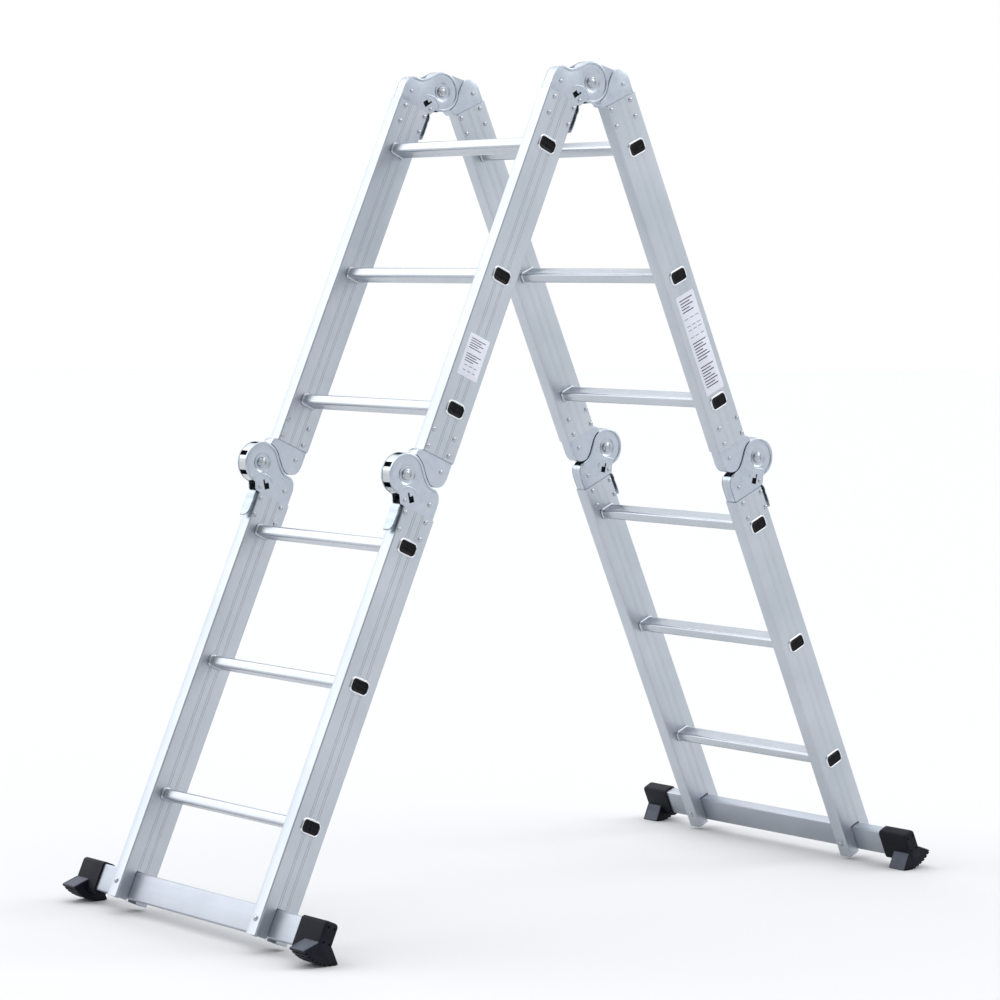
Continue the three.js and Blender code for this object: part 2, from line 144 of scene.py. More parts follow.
def plated_metal(name, dark, light, roughness):
    """Bright plate on pressed metal: a faint mottle and a slightly pitted surface."""
    material, nodes, links, bsdf = shader(name, light, roughness[0], metallic=1.0)
    mottle = noise(nodes, links, scale=70, detail=4)
    pits = noise(nodes, links, scale=500, detail=2)
    gloss(nodes, links, bsdf, mottle, *roughness)
    tint(nodes, links, bsdf, mottle, dark, light)
    relief(nodes, links, bsdf, pits, strength=0.1, distance=0.00004)
    return material


def moulded(name, dark, light, roughness, grain):
    """Moulded rubber or plastic with a fine grain and dusty patches."""
    material, nodes, links, bsdf = shader(name, dark, roughness[0])
    bsdf.inputs["Specular IOR Level"].default_value = 0.13
    dust = noise(nodes, links, scale=30, detail=8)
    surface = noise(nodes, links, scale=grain, detail=3)
    gloss(nodes, links, bsdf, dust, *roughness)
    tint(nodes, links, bsdf, dust, dark, light)
    relief(nodes, links, bsdf, surface, strength=0.4, distance=0.00015)
    return material


ALONG_LEG = (1, 1, 0.012)
ALONG_RUNG = (1, 0.012, 1)
BLACK = {"dark": (0.002, 0.002, 0.003), "light": (0.004, 0.004, 0.005)}
MATERIALS = {
    "stile": drawn_metal(
        "stile_aluminium", dark=(0.47, 0.51, 0.555), light=(0.535, 0.57, 0.62),
        roughness=(0.32, 0.42), stretch=ALONG_LEG,
    ),
    "rung": drawn_metal(
        "rung_aluminium", dark=(0.48, 0.51, 0.55), light=(0.53, 0.56, 0.60),
        roughness=(0.24, 0.34), stretch=ALONG_RUNG,
    ),
    "bar": drawn_metal(
        "bar_aluminium", dark=(0.43, 0.46, 0.51), light=(0.48, 0.51, 0.56),
        roughness=(0.38, 0.48), stretch=ALONG_RUNG,
    ),
    # Painted highlight: the rolled rims are coloured lighter than the rung, in place of the bright
    # highlight that their rounded shape catches.
    "rim": plated_metal(
        "rolled_rim_painted_highlight", dark=(0.70, 0.72, 0.75), light=(0.76, 0.78, 0.81), roughness=(0.16, 0.24)
    ),
    "zinc": plated_metal(
        "zinc_plate", dark=(0.455, 0.505, 0.565), light=(0.505, 0.55, 0.61), roughness=(0.26, 0.34)
    ),
    "tab": plated_metal(
        "lever_zinc", dark=(0.36, 0.41, 0.45), light=(0.43, 0.48, 0.52), roughness=(0.20, 0.28)
    ),
    "drum": plated_metal(
        "drum_metal", dark=(0.52, 0.55, 0.57), light=(0.58, 0.61, 0.63), roughness=(0.12, 0.20)
    ),
    "rivet": plated_metal(
        "rivet_steel", dark=(0.40, 0.42, 0.45), light=(0.48, 0.50, 0.53), roughness=(0.14, 0.20)
    ),
    "rubber": moulded(
        "foot_rubber", dark=(0.004, 0.005, 0.009), light=(0.009, 0.011, 0.018),
        roughness=(0.44, 0.60), grain=1500,
    ),
    # Painted sheen: the wing pads are a lighter rubber colour than the boot, standing in for the light that
    # their sloped faces catch.
    "pad": moulded(
        "foot_pad_painted_sheen", dark=(0.070, 0.080, 0.105), light=(0.120, 0.132, 0.165),
        roughness=(0.38, 0.50), grain=900,
    ),
    "plug": moulded("plug_plastic", **BLACK, roughness=(0.30, 0.42), grain=900),
    # Painted shade: a black for the drum notches' insides and the lever arm, where there is only shade
    # between the plates.
    "black": moulded("painted_shade_black", **BLACK, roughness=(0.42, 0.55), grain=800),
    "label": moulded(
        "label_vinyl", dark=(0.70, 0.715, 0.79), light=(0.76, 0.775, 0.85),
        roughness=(0.35, 0.45), grain=600,
    ),
    "label_grey": moulded(
        "label_grey_ink", dark=(0.05, 0.053, 0.07), light=(0.08, 0.084, 0.105),
        roughness=(0.4, 0.5), grain=600,
    ),
}


# ---- Outlines, as lists of (u, v) points ----
MITRE_LIMIT = 0.5  # keeps an inset from throwing a sharp corner far away


def rounded(width, height, radius, steps=4):
    """A rounded rectangle about the middle."""
    points = []
    for quarter, (u, v) in enumerate(((1, 1), (-1, 1), (-1, -1), (1, -1))):
        centre_u = u * (width / 2 - radius)
        centre_v = v * (height / 2 - radius)
        for i in range(steps + 1):
            angle = (quarter + i / steps) * TURN / 4
            points.append((centre_u + radius * math.cos(angle), centre_v + radius * math.sin(angle)))
    return points


def grooved(width, height, radius, steps, places, half, floor, depth):
    """A rounded rectangle with grooves in its two wide sides: floor is the share of a groove's
    width that lies at its full depth."""
    corners = rounded(width, height, radius, steps)
    quarter = len(corners) // 4
    points = []
    for index in range(4):
        points += corners[index * quarter : (index + 1) * quarter]
        if index in (0, 2):
            sign = 1 if index == 0 else -1
            for middle in sorted(places, reverse=sign > 0):
                for step, share in ((-1, 0), (-floor, 1), (floor, 1), (1, 0)):
                    points.append((middle - sign * step * half, sign * (height / 2 - share * depth)))
    return points


def circle(radius, sides):
    angles = [TURN * i / sides for i in range(sides)]
    return [(radius * math.cos(angle), radius * math.sin(angle)) for angle in angles]


def arc(radius, start, stop, steps, centre=(0, 0)):
    points = []
    for i in range(steps + 1):
        angle = start + (stop - start) * i / steps
        points.append((centre[0] + radius * math.cos(angle), centre[1] + radius * math.sin(angle)))
    return points


def bezier(start, control, end, steps=10):
    points = []
    for i in range(steps + 1):
        t = i / steps
        a, b, c = (1 - t) ** 2, 2 * t * (1 - t), t * t
        points.append(tuple(a * start[k] + b * control[k] + c * end[k] for k in (0, 1)))
    return points


def heading(path, i):
    """The direction of an open path at its point i."""
    ahead = Vector(path[min(i + 1, len(path) - 1)])
    behind = Vector(path[max(i - 1, 0)])
    return (ahead - behind).normalized()


def inset(outline, amount):
    """Moves each point of a closed outline inward by amount."""
    if not amount:
        return list(outline)
    count = len(outline)
    area = sum(
        outline[i][0] * outline[(i + 1) % count][1] - outline[(i + 1) % count][0] * outline[i][1]
        for i in range(count)
    )
    sign = 1 if area > 0 else -1
    moved = []
    for i, (u, v) in enumerate(outline):
        before = Vector((u, v)) - Vector(outline[i - 1])
        after = Vector(outline[(i + 1) % count]) - Vector((u, v))
        normal = before.normalized() + after.normalized()
        across = Vector((-normal.y, normal.x)).normalized() * sign
        lean = max(MITRE_LIMIT, across.dot(Vector((-after.y, after.x)).normalized() * sign))
        moved.append((u + across.x * amount / lean, v + across.y * amount / lean))
    return moved


def both_faces(half, edge):
    """(height, inset) steps from -half to half; edge gives them as (distance in, inset)."""
    low = [(-half + distance, amount) for distance, amount in edge]
    high = [(half - distance, amount) for distance, amount in reversed(edge)]
    return low + high


# ---- Solids, from outlines and a place function that carries (u, v, level) to the leg ----
SHARP = math.radians(32)
MERGE = 1e-4
BEAD_STEPS = 6
BEAD_FOOT = 0.3
BEAD_FADE = (0.4, 2)  # how far a bead has risen at its end, out of how many points
SHANK_RADIUS, SHANK_LENGTH = 0.55, 1.0
DOME_LIP = (0.05, 0.15)  # millimetres below its face, and share of its height above
DOME_STEPS, DOME_TOP_STEP = 6, 12.5  # the last ring stops short of the pole


def outward_y(centre, face, direction):
    """Places (u, v, level) as X and Z about centre, and level along Y from face."""
    return lambda u, v, level: Vector((centre.x + u, face + direction * level, centre.z + v))


def along_y(centre):
    return outward_y(centre, 0, 1)


def along_z(centre):
    return lambda u, v, level: Vector((centre.x + u, centre.y + v, level))


def loft(bm, rings, caps=True, loop=False):
    """Skins rings of points, each a list of Vectors as long as the others."""
    rows = [[bm.verts.new(point) for point in ring] for ring in rings]
    pairs = list(zip(rows, rows[1:]))
    if loop:
        pairs.append((rows[-1], rows[0]))
    for a, b in pairs:
        for i in range(len(a)):
            j = (i + 1) % len(a)
            bm.faces.new((a[i], a[j], b[j], b[i]))
    if caps and not loop:
        bm.faces.new(rows[0])
        bm.faces.new(rows[-1])
    return rows


def prism(bm, outline, low, high, place):
    """A straight solid of an outline between two levels."""
    loft(bm, [[place(u, v, level) for u, v in outline] for level in (low, high)])


def stepped(bm, outline, steps, place, caps):
    """An outline at each (level, inset) step, skinned."""
    rings = [[place(u, v, level) for u, v in inset(outline, amount)] for level, amount in steps]
    return loft(bm, rings, caps=caps)


def fill(bm, loops):
    """Fills the flat region inside the first loop of vertices and outside the others."""
    edges = []
    for row in loops:
        for i in range(len(row)):
            a, b = row[i], row[(i + 1) % len(row)]
            edges.append(bm.edges.get((a, b)) or bm.edges.new((a, b)))
    bmesh.ops.triangle_fill(bm, use_beauty=True, use_dissolve=False, edges=edges)


def flat_piece(bm, outline, steps, place):
    """A plate of any outline, through (level, inset) steps from one face to the other."""
    rows = stepped(bm, outline, steps, place, caps=False)
    fill(bm, [rows[0]])
    fill(bm, [rows[-1]])


def bead(bm, path, half_width, height, base, place):
    """A raised half-round line along an open path, on a face at base."""
    risen, points = BEAD_FADE
    rings = []
    for i, point in enumerate(path):
        along = heading(path, i)
        across = Vector((-along.y, along.x))
        fade = min(1.0, (min(i, len(path) - 1 - i) + risen) / points)
        ring = []
        for step in range(BEAD_STEPS + 1):
            angle = math.pi * step / BEAD_STEPS
            offset = across * half_width * math.cos(angle) * fade
            level = base + height * fade * math.sin(angle)
            ring.append(place(point[0] + offset.x, point[1] + offset.y, level))
        for offset in (-across, across):
            u = point[0] + offset.x * half_width * fade
            v = point[1] + offset.y * half_width * fade
            ring.append(place(u, v, base - BEAD_FOOT))
        rings.append(ring)
    loft(bm, rings)


def dome(bm, centre, axis, radius, height, sides=20):
    """A low domed rivet head that rises from centre along axis, and a short shank below."""
    axis = Vector(axis).normalized()
    side_u = axis.orthogonal().normalized()
    side_v = axis.cross(side_u)
    below, lip = DOME_LIP
    profile = [(radius * SHANK_RADIUS, -SHANK_LENGTH), (radius, -below), (radius, height * lip)]
    for step in range(1, DOME_STEPS):
        angle = step * math.pi / DOME_TOP_STEP
        profile.append((radius * math.cos(angle), height * (lip + (1 - lip) * math.sin(angle))))
    rings = [
        [Vector(centre) + axis * level + side_u * u + side_v * v for u, v in circle(r, sides)]
        for r, level in profile
    ]
    loft(bm, rings)


def cut(bm, tool):
    """Takes the closed solid in tool away from the one in bm, and returns what is left."""
    objects = []
    for name, solid in (("cut_body", bm), ("cut_tool", tool)):
        bmesh.ops.recalc_face_normals(solid, faces=solid.faces)
        mesh = bpy.data.meshes.new(name)
        solid.to_mesh(mesh)
        solid.free()
        obj = bpy.data.objects.new(name, mesh)
        bpy.context.scene.collection.objects.link(obj)
        objects.append(obj)
    body, cutter = objects
    modifier = body.modifiers.new("cut", "BOOLEAN")
    modifier.operation = "DIFFERENCE"
    modifier.solver = "EXACT"
    modifier.object = cutter
    bpy.context.view_layer.update()
    graph = bpy.context.evaluated_depsgraph_get()
    result = bmesh.new()
    result.from_mesh(body.evaluated_get(graph).to_mesh())
    for obj in objects:
        mesh = obj.data
        bpy.data.objects.remove(obj)
        bpy.data.meshes.remove(mesh)
    return result


def join(bm, other):
    """Adds the other mesh to bm."""
    mesh = bpy.data.meshes.new("joined")
    other.to_mesh(mesh)
    other.free()
    bm.from_mesh(mesh)
    bpy.data.meshes.remove(mesh)


def paint_second(bm, make, *details):
    """Runs make(bm, *details), and gives the faces that it adds the piece's second material."""
    count = len(bm.faces)
    make(bm, *details)
    bm.faces.ensure_lookup_table()
    for face in bm.faces[count:]:
        face.material_index = 1


def finish_mesh(bm):
    """Faces out, smooth curves and crisp edges."""
    bmesh.ops.remove_doubles(bm, verts=bm.verts, dist=MERGE)
    bmesh.ops.recalc_face_normals(bm, faces=bm.faces)
    for face in bm.faces:
        face.smooth = True
    for edge in bm.edges:
        edge.smooth = len(edge.link_faces) == 2 and edge.calc_face_angle(math.pi) < SHARP


def piece(name, bm, leg, body, materials, replaces=()):
    """Makes the finished mesh an object that rides on a body and stands for CAD nodes."""
    finish_mesh(bm)
    bmesh.ops.scale(bm, vec=(MM, MM, MM), verts=bm.verts)
    leg_place = bm.verts.layers.float_vector.new(LEG_PLACE)
    for vertex in bm.verts:
        vertex[leg_place] = vertex.co
    bm.transform(LEG_FRAME[leg])
    mesh = bpy.data.meshes.new(name)
    bm.to_mesh(mesh)
    bm.free()
    obj = bpy.data.objects.new(name, mesh)
    bpy.context.scene.collection.objects.link(obj)
    for key in materials:
        mesh.materials.append(MATERIALS[key])
    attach(obj, body)
    if replaces:
        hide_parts(*replaces)


# ---- Stiles ----
STILE_CORNER = 3.0
STILE_WALL = 1.8
BORE_CORNER = 1.0
STILE_GROOVES = {"places": (-10.5, -6.5, 6.5, 10.5), "half": 0.8, "floor": 0.5, "depth": 0.45}
BAR_SLOT = {"wider": 1.4, "taller": 1.6, "corner": 1.2}
PAST_END, PAST_FACE = 1.0, 5.0  # how far a cutting tool runs past what it cuts
RUNG_CORNER = 5.0


def stile(number, row, leg):
    node = f"section_{number}_{row}_stile"
    box = Box(node, leg)
    low, high = box.low.y - PAST_FACE, box.high.y + PAST_FACE
    bm = bmesh.new()
    outline = grooved(box.size.x, box.size.y, STILE_CORNER, steps=4, **STILE_GROOVES)
    prism(bm, outline, box.low.z, box.high.z, along_z(box.middle))
    tool = bmesh.new()
    bore = rounded(box.size.x - 2 * STILE_WALL, box.size.y - 2 * STILE_WALL, BORE_CORNER, steps=2)
    prism(tool, bore, box.low.z - PAST_END, box.high.z + PAST_END, along_z(box.middle))
    bm = cut(bm, tool)
    tool = bmesh.new()
    for i in RUNGS:
        rung_box = Box(f"section_{number}_rung_{i}", leg)
        hole = rounded(rung_box.size.x, rung_box.size.z, RUNG_CORNER)
        prism(tool, hole, low, high, along_y(rung_box.middle))
    if number in LOWER_SECTIONS:
        bar = Box(f"{leg}_stabiliser_bar", leg)
        slot_top = bar.high.z + BAR_SLOT["taller"]
        slot_height = slot_top - box.low.z + PAST_FACE
        slot = rounded(bar.size.x + BAR_SLOT["wider"], slot_height, BAR_SLOT["corner"], steps=3)
        centre = Vector((bar.middle.x, 0, (slot_top + box.low.z - PAST_FACE) / 2))
        prism(tool, slot, low, high, along_y(centre))
    bm = cut(bm, tool)
    piece(f"{node}_extrusion", bm, leg, f"section_{number}", ["stile"], [node])


# ---- Rungs ----
TREAD_GROOVES = {"places": (-9, -6, -3, 0, 3, 6, 9), "half": 0.85, "floor": 0.6, "depth": 0.55}
TUBE_SHORT = 1.0  # how far the tube itself ends inside the stile's outer face
# Profiles round the tube, each point (out from the tube, away from the stile's face).
RIM = (
    (-1.9, -9), (-1.2, -2), (1.0, 1.2), (2.0, 2.0), (3.2, 2.1), (4.3, 1.3), (4.8, 0.3), (4.4, -0.15),
    (1.0, -0.15),
)
PLUG = ((1.2, 0.0), (1.2, 1.3), (0.8, 1.6), (-0.8, 1.6), (-1.8, 1.0), (-5.0, 0.8))
COLLAR = ((-0.6, 0.1), (0.9, 0.15), (1.9, 1.2), (2.1, 2.4), (1.5, 3.6), (0.5, 4.4), (-0.6, 4.7))
SMALLEST_CORNER = 1.0
RIB_WIDTH, RIB_SHORT, RIB_CORNER = 1.6, 6.0, 0.5
RIB_PROFILE = ((0, 0.4), (0, 1.35), (0.4, 1.5))


def collar(bm, box, profile, face, direction, loop=False):
    """Rings round the rung's section, along its length from face."""
    place = outward_y(box.middle, face, direction)
    rings = []
    for offset, distance in profile:
        corner = max(SMALLEST_CORNER, RUNG_CORNER + offset)
        ring = rounded(box.size.x + 2 * offset, box.size.z + 2 * offset, corner, steps=5)
        rings.append([place(u, v, distance) for u, v in ring])
    loft(bm, rings, caps=not loop, loop=loop)


def plug_ribs(bm, box, face, end):
    """Two crossed ribs moulded on the plug's dished face."""
    place = outward_y(box.middle, face, end)
    for width, height in ((box.size.x - RIB_SHORT, RIB_WIDTH), (RIB_WIDTH, box.size.z - RIB_SHORT)):
        rings = []
        for shrink, level in RIB_PROFILE:
            ring = rounded(width - shrink, height - shrink, RIB_CORNER, steps=2)
            rings.append([place(u, v, level) for u, v in ring])
        loft(bm, rings)


def rung(number, i, leg):
    """A grooved tube with a collar inside and a rolled rim outside each stile, and two plugs."""
    body = f"section_{number}"
    node = f"{body}_rung_{i}"
    box = Box(node, leg)
    far_stile = Box(f"{body}_far_stile", leg)
    half = far_stile.high.y - TUBE_SHORT
    bm = bmesh.new()
    outline = grooved(box.size.x, box.size.z, RUNG_CORNER, steps=5, **TREAD_GROOVES)
    prism(bm, outline, -half, half, along_y(box.middle))
    for end in ROWS.values():
        collar(bm, box, COLLAR, end * far_stile.low.y, -end)
        # The rolled rim takes the second material, a lighter colour that is a painted highlight.
        paint_second(bm, collar, box, RIM, end * far_stile.high.y, end, True)
    piece(f"{node}_tread", bm, leg, body, ["rung", "rim"], [node])
    for row, end in ROWS.items():
        bm = bmesh.new()
        collar(bm, box, PLUG, end * far_stile.high.y, end)
        plug_ribs(bm, box, end * far_stile.high.y, end)
        piece(f"{node}_{row}_plug", bm, leg, body, ["plug"])


# ---- Stabiliser bars and their bolts ----
BAR_CORNER = 2.6
WASHER = {"radius": 6.5, "height": 0.9, "sides": 24}
BOLT_HEAD = {"radius": 4.9, "height": 2.6}
HEAD_LIFT = 0.7


def stabiliser_bar(leg, body):
    node = f"{leg}_stabiliser_bar"
    box = Box(node, leg)
    bm = bmesh.new()
    outline = rounded(box.size.x, box.size.z, BAR_CORNER, steps=5)
    prism(bm, outline, box.low.y, box.high.y, along_y(box.middle))
    piece(f"{node}_tube", bm, leg, body, ["bar"], [node])


def bar_bolt(leg, row, body):
    """A cross bolt with a low domed head and a washer on each narrow face of the stile."""
    node = f"{leg}_{row}_bar_bolt"
    box = Box(node, leg)
    stile_box = Box(f"{body}_{row}_stile", leg)
    bm = bmesh.new()
    for end, x in ((-1, stile_box.low.x), (1, stile_box.high.x)):
        face = Vector((x, box.middle.y, box.middle.z))
        axis = Vector((end, 0, 0))
        dome(bm, face, axis, **WASHER)
        dome(bm, face + axis * HEAD_LIFT, axis, **BOLT_HEAD)
    piece(f"{node}_heads", bm, leg, body, ["rivet"], [node])


# ---- Feet, measured from the middle of the bar ----
FOOT_HALF = 14.0
FOOT_TOP = 28.0
BOOT_BOTTOM = 31.0
BOOT_LENGTH = 68.0
BOOT_CORNER = 7.0
BOOT_ROUNDING = ((0, BOOT_LENGTH), (0, 5), (0.5, 2.6), (1.6, 0.9), (3.4, 0.0))  # (shrink, back)
LEAST_BOOT_CORNER = 1.5
BAR_ROOM = 0.5
END_WALL = 4.2
DIMPLES_ACROSS, DIMPLES_UP = (-6.5, 6.5), (18.5, -7.5)
DIMPLE_RADIUS, DIMPLE_DEPTH, DIMPLE_PAST = 2.1, 3.2, 2.0
WAIST = 10.0
WAIST_HALF = 13.0
TIP = 33.0
TIP_HALF = 37.5
SOLE = 43.5
SOLE_RADIUS = (TIP_HALF**2 + (SOLE - TIP) ** 2) / (2 * (SOLE - TIP))
TEETH = 9
TOOTH_DEPTH = 3.4
TOOTH_SHARES = ((0.0, 0), (0.62, 0), (0.68, 1), (0.94, 1))  # (share of a tooth's pitch, depth)
WING_SETBACK = 0.8
WING_LENGTH = 42.0
PAD_PROFILE = ((0.4, -0.5), (0.4, 1.0), (1.0, 1.5), (2.6, 1.5), (3.1, 0.9), (3.6, 0.9))
PAD_SHORT, PAD_SHIFT, PAD_CORNER = 3.0, 0.5, 1.6


def sole_points():
    """The curved sole from tip to tip, cut across by grooves between its teeth."""
    reach = math.asin(TIP_HALF / SOLE_RADIUS)
    width = 2 * reach / TEETH
    points = []
    for i in range(TEETH):
        start = -reach + 2 * reach * i / TEETH
        shares = TOOTH_SHARES if i < TEETH - 1 else TOOTH_SHARES[:-1]
        for share, depth in shares:
            radius = SOLE_RADIUS - depth * TOOTH_DEPTH
            angle = start + share * width
            points.append((radius * math.sin(angle), SOLE_RADIUS - SOLE - radius * math.cos(angle)))
    points.append((TIP_HALF, -TIP))
    return points


def wing_pad(bm, side, place):
    """The raised rectangular pad, with its rim, on the slope of one wing."""
    start = Vector((WAIST_HALF, -WAIST))
    slope = Vector((TIP_HALF, -TIP)) - start
    along = slope.normalized()
    out = Vector((-along.y, along.x))
    rings = []
    for shrink, rise in PAD_PROFILE:
        ring = []
        length, width = slope.length - 2 * shrink, WING_LENGTH - PAD_SHORT - 2 * shrink
        for u, v in rounded(length, width, PAD_CORNER, steps=3):
            at = start + along * (slope.length / 2 + u) + out * rise
            ring.append(place(side * at.x, at.y, WING_LENGTH / 2 + PAD_SHIFT + v))
        rings.append(ring)
    loft(bm, rings)


def foot(leg, row, body):
    """A rubber boot over the bar's end, on a splayed base with a toothed rocker sole."""
    node = f"{leg}_{row}_foot"
    box = Box(node, leg)
    bar = Box(f"{leg}_stabiliser_bar", leg)
    end = ROWS[row]
    back_from_tip = outward_y(bar.middle, box.high.y if end > 0 else box.low.y, -end)
    boot_middle = (FOOT_TOP - BOOT_BOTTOM) / 2
    bm = bmesh.new()
    rings = []
    for shrink, back in BOOT_ROUNDING:
        height = FOOT_TOP + BOOT_BOTTOM - 2 * shrink
        corner = max(LEAST_BOOT_CORNER, BOOT_CORNER - shrink)
        ring = rounded(2 * (FOOT_HALF - shrink), height, corner, steps=5)
        rings.append([back_from_tip(u, v + boot_middle, back) for u, v in ring])
    loft(bm, rings)
    pocket = rounded(bar.size.x + BAR_ROOM, bar.size.z + BAR_ROOM, BAR_CORNER, steps=5)
    tool = bmesh.new()
    prism(tool, pocket, BOOT_LENGTH + PAST_END, END_WALL, back_from_tip)
    for u in DIMPLES_ACROSS:
        for v in DIMPLES_UP:
            hole = [(u + a, v + b) for a, b in circle(DIMPLE_RADIUS, sides=16)]
            prism(tool, hole, DIMPLE_DEPTH, -DIMPLE_PAST, back_from_tip)
    bm = cut(bm, tool)
    base = bmesh.new()
    outline = sole_points() + [(WAIST_HALF, -WAIST), (-WAIST_HALF, -WAIST)]
    prism(base, outline, WING_SETBACK, WING_LENGTH, back_from_tip)
    tool = bmesh.new()
    prism(tool, pocket, WING_LENGTH + PAST_END, END_WALL, back_from_tip)
    join(bm, cut(base, tool))
    for side in SIDES.values():
        # The pads take the lighter second material, a painted sheen.
        paint_second(bm, wing_pad, side, back_from_tip)
    piece(f"{node}_boot", bm, leg, body, ["rubber", "pad"], [node])


# ---- Hinges, as (in, along) points from the pivot, and heights from the middle plane ----
DISC = 37.0
DRUM = DISC - 0.5
FACE = 12.2
PLATE = 2.4
DRUM_HALF = FACE - PLATE - 0.3
DISH = 2.1
STILE_END = 52.0
TAIL = 60.0
FRONT = 16.6
BACK = 83.4
THROAT = (4.0, 43.0)
CORNER = (58.0, 0.0)
SHOULDER = 28.0
WAIST_ANGLE = math.radians(40)
WAIST_CONTROL = (47.4, -1.0)
CLEAR = 1.3
FRONT_EDGE = [(FRONT, STILE_END - 0.6), (9.0, 50.8), (6.0, 47.6), THROAT]
# The first point lies on the straight back edge, and keeps the corner's shading off it.
TAIL_EDGE = [(BACK, SHOULDER + 12), (BACK, TAIL), (FRONT, TAIL)]
STILE_RIVETS = [(20.5, 61), (69, 61), (20.5, 92), (69, 92)]
PLATE_RIVET = (66, 30)
LEVER_PIN = (13, 42)
LOCKS = (0, 75, 132, 180)
TOOTH_ANGLE = math.radians(54.2)


def back_corner(start):
    """The rounded corner from the stop round to the back edge."""
    return bezier(start, (BACK, start[1]), (BACK, SHOULDER))


def waist(radius, sign, stop, room):
    """The hollow edge between the disc, or the arc that clears it, and the back corner."""
    start = (radius * math.cos(WAIST_ANGLE), sign * radius * math.sin(WAIST_ANGLE))
    control = (WAIST_CONTROL[0] + room, sign * (room - WAIST_CONTROL[1]))
    return bezier(start, control, stop)[1:-1]


def at_tooth(radius, across):
    """A point on the tooth's line from the pivot, or to one side of it."""
    cos, sin = math.cos(TOOTH_ANGLE), math.sin(TOOTH_ANGLE)
    return (cos * radius - sin * across, sin * radius + cos * across)


class Hinge:
    """Where one hinge half lies: (in, along) run from the pivot across and down its stile."""

    def __init__(self, name, row, part, leg):
        self.leg = leg
        rivet_leg = "left" if name == "top" else leg
        pivot = Box(f"{name}_{row}_pivot_rivet", rivet_leg).middle
        self.x, self.y, self.z = (0.0, pivot.y, 0.0) if name == "top" else pivot
        side = SIDES[leg]
        self.across = side if name == "top" else -side
        self.down = 1 if part == "drum" and name != "top" else -1
        self.out = ROWS[row]

    def place(self, outward=1):
        """Places (in, along, height), with height outward from the hinge's middle plane."""
        return lambda u, v, height: Vector(
            (self.x + self.across * u, self.y + outward * self.out * height, self.z + self.down * v)
        )


# ---- Lock plates ----
PRESSED_EDGE = ((0.7, 0), (0.2, 0.2), (0, 0.7))  # (below the face, inset)
DISH_PROFILE = (  # (radius, above the face)
    (18.4, 0), (17.9, -0.15), (17.2, -0.55), (15.7, -1.5), (14.6, -1.9), (13.2, -DISH), (6, -DISH),
    (6, -PLATE),
)
WINDOW = ((1.8, -11.0), (5.2, -11.0), (5.2, 7.5), (-5.2, 7.5), (-5.2, -3.5), (1.8, -3.5))
WINDOW_RADIUS = 42.0
RIM_BEAD = {"half_width": 2.6, "height": 1.9}
RIM_INSET = 2.7
RIM_START = 0.12
FOLD_GAP = 0.15
RAISED_ARC = {"radius": 25, "start": math.radians(196), "stop": math.radians(322), "centre": (17, 42.5)}
ARC_BEAD = {"half_width": 1.2, "height": 0.8}


def disc_edge(start=0.0):
    """The plate's disc from its throat round to the waist."""
    return arc(DISC, math.acos(THROAT[0] / DISC) + start, TURN - WAIST_ANGLE, steps=40)


def plate_outline():
    return back_corner(CORNER) + TAIL_EDGE + FRONT_EDGE + disc_edge()[1:] + waist(DISC, -1, CORNER, 0)


def rim_path():
    """Along the edge of the disc and down the back corner, just inside the outline."""
    edge = disc_edge(RIM_START) + waist(DISC, -1, CORNER, 0) + back_corner(CORNER)[:6]
    path = []
    for i in range(1, len(edge) - 1):
        along = heading(edge, i)
        path.append((edge[i][0] - along.y * RIM_INSET, edge[i][1] + along.x * RIM_INSET))
    return path


def lock_plate(hinge, name, row, which, body):
    """A zinc plated pressing: beaded rim, dished pivot boss, raised arc and dog window."""
    place = hinge.place(1 if which == "outer" else -1)
    pressed = [(FACE - below, amount) for below, amount in PRESSED_EDGE]
    bm = bmesh.new()
    sides = stepped(bm, plate_outline(), [(FACE - PLATE, 0)] + pressed, place, caps=False)
    outline = [at_tooth(WINDOW_RADIUS + v, u) for u, v in WINDOW]
    window = stepped(bm, outline, ((FACE - PLATE, 0), (FACE, 0)), place, caps=False)
    rings = [[place(u, v, FACE + rise) for u, v in circle(r, sides=40)] for r, rise in DISH_PROFILE]
    dish = loft(bm, rings, caps=False)
    fill(bm, [sides[-1], window[-1], dish[0]])
    fill(bm, [sides[0], window[0], dish[-1]])
    bead(bm, rim_path(), **RIM_BEAD, base=FACE, place=place)
    fold = back_corner(CORNER)[4:] + [(BACK, TAIL)]
    inside = [(u - PLATE, v) for u, v in reversed(fold)]
    flat_piece(bm, fold + inside, [(FOLD_GAP, 0)] + pressed[:2], place)
    bead(bm, arc(**RAISED_ARC, steps=20), **ARC_BEAD, base=FACE, place=place)
    node = f"{name}_{row}_{which}_lock_plate"
    piece(f"{name}_{row}_{which}_pressing", bm, hinge.leg, body, ["zinc"], [node])


# ---- Pivot rivets and the rivets that hold each half in its stile ----
PIVOT_PROFILE = (  # (radius, above the bottom of the dish)
    (5.9, -3), (9.8, 0), (9.8, 1.5), (9.2, 2.8), (7.8, 3.6), (6.9, 3.5), (6.3, 3.0), (5.2, 3.6), (2.7, 4.3),
    (0.6, 4.5),
)
STILE_HEAD = {"radius": 4.3, "height": 2.4}
PLATE_HEAD = {"radius": 3.9, "height": 2.1}
PIN_HEAD = {"radius": 3.6, "height": 2.0}


def pivot_rivet(hinge, name, row, body):
    bm = bmesh.new()
    for outward in (1, -1):
        place = hinge.place(outward)
        base = FACE - DISH
        rings = [[place(u, v, base + rise) for u, v in circle(r, sides=32)] for r, rise in PIVOT_PROFILE]
        loft(bm, rings)
    node = f"{name}_{row}_pivot_rivet"
    piece(f"{node}_heads", bm, hinge.leg, body, ["rivet"], [node])


